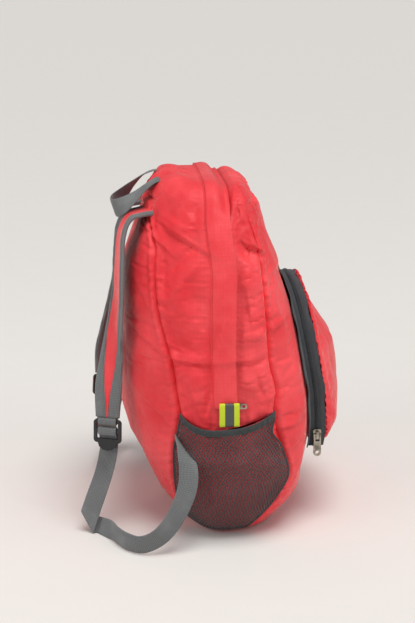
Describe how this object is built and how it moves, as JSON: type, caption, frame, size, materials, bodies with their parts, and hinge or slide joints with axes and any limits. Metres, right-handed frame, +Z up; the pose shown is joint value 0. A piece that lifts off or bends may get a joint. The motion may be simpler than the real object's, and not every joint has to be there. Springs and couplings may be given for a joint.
{
  "type": "backpack",
  "caption": "Stuffed lightweight ripstop day pack with a domed front pocket, net side pockets, padded shoulder straps and a webbing grab handle.",
  "frame": {"origin": "on the ground, on the flat underside of the bag, in its middle plane", "axes": "+Z up, +Y towards the wearer's back (shoulder straps), -Y towards the front pocket, -X towards the wearer's left"},
  "size_m": [0.337, 0.2986, 0.3886],
  "materials": {
    "cloth": "ripstop nylon",
    "webbing": "woven webbing",
    "tape": "woven tape",
    "net": "knitted net",
    "plastic": "moulded",
    "reflector": "reflective ribbon",
    "metal": "nickel-plated"
  },
  "bodies": {
    "bag": {"base_gusset": "cloth", "back_panel": "cloth", "front_panel": "cloth", "zip_gusset_back": "cloth", "zip_gusset_front": "cloth", "zip_flap": "cloth", "main_zip": "tape", "main_zip_pull": "metal", "front_pocket": "cloth", "pocket_zip_tape": "tape", "pocket_zip_coil": "tape", "pocket_slider": "metal", "grab_handle": "webbing", "net_pocket_left": "net", "pocket_binding_left": "tape", "reflective_tab_left": "reflector", "shoulder_strap_left": "cloth", "strap_binding_outboard_left": "webbing", "strap_binding_inboard_left": "webbing", "strap_end_loop_left": "webbing", "ladder_lock_left": "plastic", "lower_webbing_left": "webbing", "net_pocket_right": "net", "pocket_binding_right": "tape", "reflective_tab_right": "reflector", "shoulder_strap_right": "cloth", "strap_binding_outboard_right": "webbing", "strap_binding_inboard_right": "webbing", "strap_end_loop_right": "webbing", "ladder_lock_right": "plastic", "lower_webbing_right": "webbing"},
    "pocket_pull": {"pocket_pull": "metal"}
  },
  "joints": [
    {"name": "pocket_pull_swing", "type": "hinge", "parent": "bag", "child": "pocket_pull", "pos_m": [-0.0929, -0.11779, 0.104], "axis": [0, 1, 0], "range_deg": [0, 175]}
  ]
}
